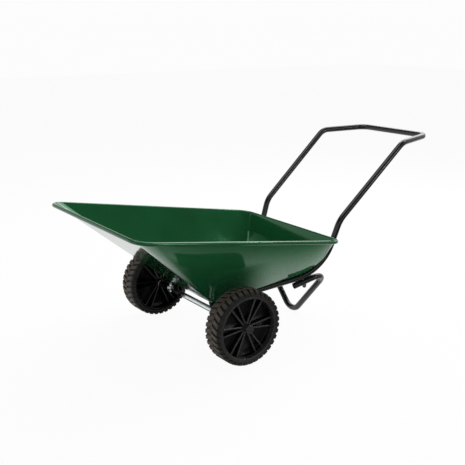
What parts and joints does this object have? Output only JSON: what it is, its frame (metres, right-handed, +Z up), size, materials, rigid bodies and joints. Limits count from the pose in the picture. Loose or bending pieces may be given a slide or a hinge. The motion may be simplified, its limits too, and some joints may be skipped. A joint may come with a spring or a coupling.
{
  "type": "two wheel wheelbarrow",
  "caption": "Two-wheel wheelbarrow with a tapered pressed tray, a looped tube handle, a through axle and a V-shaped rear stand.",
  "frame": {"origin": "on the ground, below the middle of the barrow's length and width", "axes": "+X forward over the front rim of the tray, +Y to the operator's left, +Z up"},
  "size_m": [1.3594, 0.6654, 0.669],
  "materials": {
    "green_enamel": "gloss",
    "black_enamel": "gloss",
    "zinc_plate": "satin",
    "black_plastic": "satin",
    "tyre_rubber": "matte",
    "bush_plastic": "matte"
  },
  "bodies": {
    "chassis": {"tray": "green_enamel", "frame_tube": "black_enamel", "stand": "black_enamel", "axle": "zinc_plate", "left_axle_hanger": "black_enamel", "right_axle_hanger": "black_enamel", "hanger_bolts": "black_enamel", "hanger_nuts": "black_enamel", "left_wheel_spacer": "black_plastic", "right_wheel_spacer": "black_plastic", "axle_washers": "zinc_plate", "split_pins": "zinc_plate", "retaining_rings": "zinc_plate", "tray_bolts": "zinc_plate", "tray_washers": "zinc_plate", "tray_nuts": "zinc_plate", "stand_bolts": "zinc_plate", "stand_washers": "zinc_plate", "stand_nuts": "zinc_plate"},
    "left_wheel": {"left_wheel": "black_plastic", "left_tyre": "tyre_rubber", "left_hub_bushes": "bush_plastic", "left_hub_cap": "black_plastic"},
    "right_wheel": {"right_wheel": "black_plastic", "right_tyre": "tyre_rubber", "right_hub_bushes": "bush_plastic", "right_hub_cap": "black_plastic"}
  },
  "joints": [
    {"name": "left_wheel_spin", "type": "hinge", "parent": "chassis", "child": "left_wheel", "pos_m": [0.28325, 0.288, 0.127], "axis": [0, 1, 0], "continuous": true},
    {"name": "right_wheel_spin", "type": "hinge", "parent": "chassis", "child": "right_wheel", "pos_m": [0.28325, -0.288, 0.127], "axis": [0, 1, 0], "continuous": true}
  ]
}
